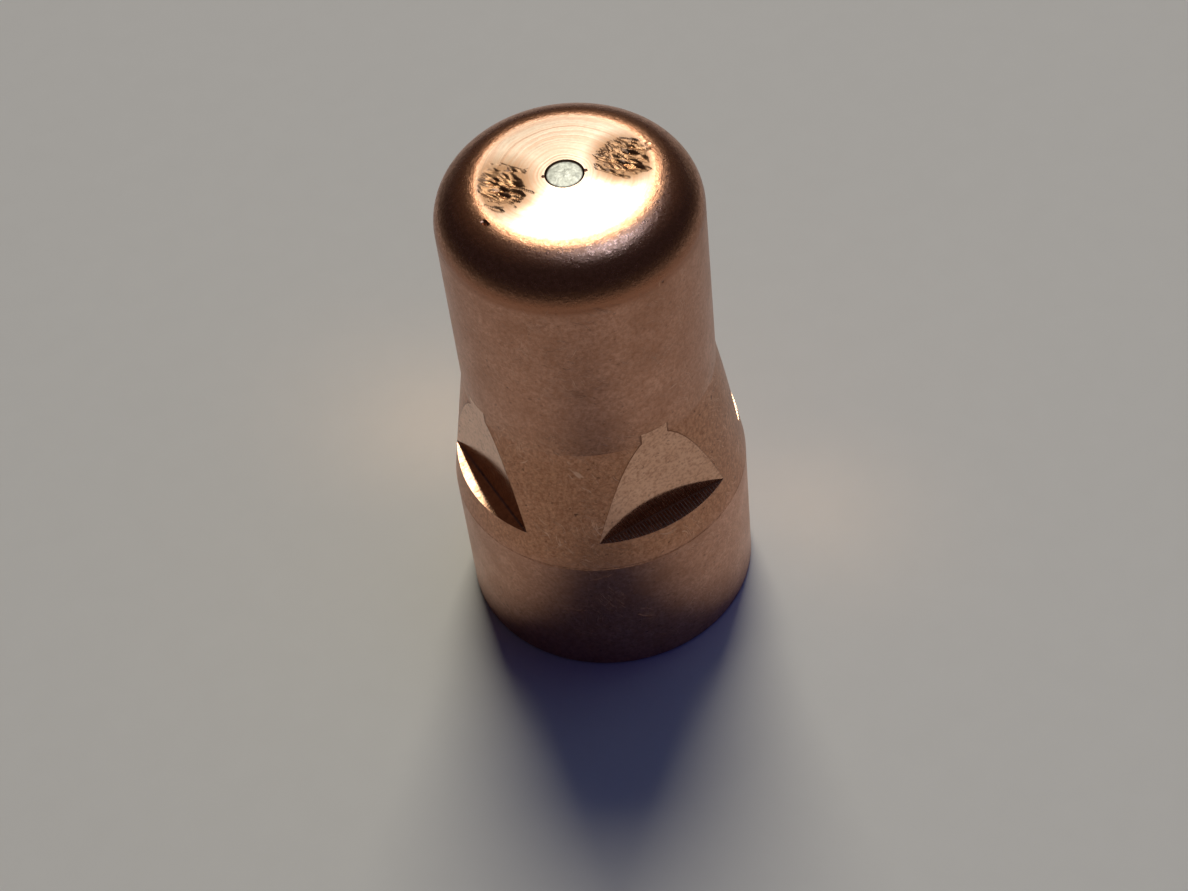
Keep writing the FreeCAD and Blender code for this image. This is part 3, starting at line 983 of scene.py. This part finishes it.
start_fresh()
bpy.ops.mesh.primitive_plane_add(size=6.0, location=(0, 0, 0))
table = bpy.context.object
table.name = "table"
table_paint, tree, shader = new_material("table_paint")
shader.inputs["Roughness"].default_value = 0.6
shader.inputs["Specular IOR Level"].default_value = 0.2
spot, radius_mm, height_mm = millimetres(tree)
mottle = noise_at(tree, spot, 0.5, 6.0)
paint = blend_colors(tree, mottle, (0.79, 0.757, 0.725, 1), (0.82, 0.787, 0.755, 1))
beyond = remap(tree, radius_mm, 42, 100)
mirrored = node(tree, "LightPath").outputs["Is Glossy Ray"]
darkened = arithmetic(tree, "MULTIPLY", beyond, mirrored)
away_from_window = node(tree, "VectorMath", {0: node(tree, "VectorMath", {0: spot},
                                                     operation="NORMALIZE").outputs[0],
                                             1: direction_to(window_middle, 0)},
                        operation="DOT_PRODUCT").outputs["Value"]
darkened = arithmetic(tree, "MULTIPLY", darkened, remap(tree, away_from_window, 0.95, 0.7))
tree.links.new(blend_colors(tree, darkened, paint, (0.10, 0.08, 0.07, 1)),
               shader.inputs["Base Color"])
table.data.materials.append(table_paint)
table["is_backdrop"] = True

# %% [markdown]
# A lamp is a rectangle with a radiance, so a pane keeps its brightness when its size changes.
# The window has a bright upper pane and a dim lower one. The sky overhead is two lamps: a soft
# one lights dull surfaces only and fills the shadow, and a bluish one shows in metal only and
# makes the pale glow in front of the nose face.

# %% Window and skylight
def area_light(name, place, facing, width, tall, radiance):
    """A rectangle of light at this place, in millimetres, facing away from a direction."""
    brightest = max(radiance)
    data = bpy.data.lights.new(name, "AREA")
    data.shape = "RECTANGLE"
    data.size = width * MM
    data.size_y = tall * MM
    data.color = [part / brightest for part in radiance]
    data.energy = brightest * math.pi * data.size * data.size_y
    lamp = bpy.data.objects.new(name, data)
    lamp.location = place * MM
    lamp.rotation_euler = facing.to_track_quat("Z", "Y").to_euler()
    lamp.visible_camera = False
    bpy.context.scene.collection.objects.link(lamp)
    return lamp


window_away = 600
window_half = 17.8                     # half its width, in degrees
window_width = 2 * window_away * math.tan(math.radians(window_half))
outwards = direction_to(window_middle, 0)
panes = (
    # name, lift of its lower and upper edge in degrees, and radiance
    ("upper_pane", 46, 70, (10.4, 10.2, 8.6)),
    ("lower_pane", 34, 45, (0.8, 0.75, 0.65)),
)
for name, lower_edge, upper_edge, radiance in panes:
    low, high = (window_away * math.tan(math.radians(lift)) for lift in (lower_edge, upper_edge))
    area_light(name, outwards * window_away + Vector((0, 0, (low + high) / 2)), outwards,
               window_width, high - low, radiance)
skywards = direction_to(40, 79)
skylight = area_light("skylight", skywards * window_away, skywards, 150, 150, (1.0, 1.30, 1.6))
skylight.visible_glossy = False
skywards = direction_to(83, 75)
mirrored_sky = area_light("mirrored_sky", skywards * window_away, skywards, 240, 90, (3.6, 5.0, 7.6))
mirrored_sky.visible_diffuse = False

# %% [markdown]
# Two of the flats face the window and throw its light onto the table as soft warm pools. The
# renderer drops light that bounces off shiny metal before it reaches a dull surface, so a small
# lamp in front of each of those flats stands for it.

# %% Pools of light on the table
pool_spread = math.radians(56)
for flat_azimuth, beam_lift, share in ((-25.2, 58, 1.0), (64.8, 68, 0.55)):
    leaving_azimuth = 2 * flat_azimuth - window_middle
    start = direction_to(flat_azimuth, 0) * (flat_at + 1.5) + Vector((0, 0, ledge + cutter / 2))
    beam = direction_to(leaving_azimuth, -beam_lift)
    pool = area_light("pool_light", start, -beam, 4, 3, (0.85 * share, 0.53 * share, 0.27 * share))
    pool.data.spread = pool_spread
    pool.visible_glossy = False

# %% [markdown]
# The world has its own colour for each kind of ray. Metal mirrors a dark room with a warm glow
# beside the window. Dull surfaces get a faint sky that is blue on the right, where the shadow
# in the photograph is bluest. The camera sees a plain grey background.

# %% Room
room_dark = (0.022, 0.017, 0.021, 1)     # as the metal mirrors it
room_glow = (0.060, 0.040, 0.030, 1)     # wall beside the window
sky_left = (0.014, 0.012, 0.010, 1)      # as it lights the table
sky_right = (0.012, 0.022, 0.170, 1)
behind_camera_ray = (0.40, 0.38, 0.355, 1)
world = bpy.data.worlds.new("room")
world.use_nodes = True
bpy.context.scene.world = world
tree = world.node_tree
tree.nodes.clear()
ways = node(tree, "TexCoord").outputs["Generated"]
facing = node(tree, "VectorMath", {0: ways, 1: direction_to(window_middle, 56)},
              operation="DOT_PRODUCT").outputs["Value"]
beside_window = remap(tree, facing, math.cos(math.radians(65)), math.cos(math.radians(30)))
room_color = blend_colors(tree, beside_window, room_dark, room_glow)
sideways = node(tree, "VectorMath", {0: ways, 1: direction_to(90, 0)},
                operation="DOT_PRODUCT").outputs["Value"]
sky_color = blend_colors(tree, remap(tree, sideways, -0.3, 0.9), sky_left, sky_right)
path = node(tree, "LightPath").outputs
shown = blend_colors(tree, path["Is Glossy Ray"], sky_color, room_color)
shown = blend_colors(tree, path["Is Camera Ray"], shown, behind_camera_ray)
glow = node(tree, "Background", {"Color": shown, "Strength": 1.0})
tree.links.new(glow.outputs[0], node(tree, "OutputWorld").inputs["Surface"])
world.cycles.sampling_method = "NONE"    # so that each kind of ray finds its own colour

# %% [markdown]
# ## Hand over
# The two finished pieces ride on the part's only body and stand for its two nodes. The size of
# this one is printed.

# %% Hand over
stands_for = ((body, "electrode_body", "copper"), (emitter, "emitter_insert", "hafnium"))
for piece, cad_node, finish in stands_for:
    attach(piece, "root")
    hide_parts(cad_node)

scene = bpy.context.scene
scene.view_settings.view_transform = "Standard"
low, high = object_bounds()
print("visual box in mm:", [round(value / MM, 3) for value in (*low, *high)])
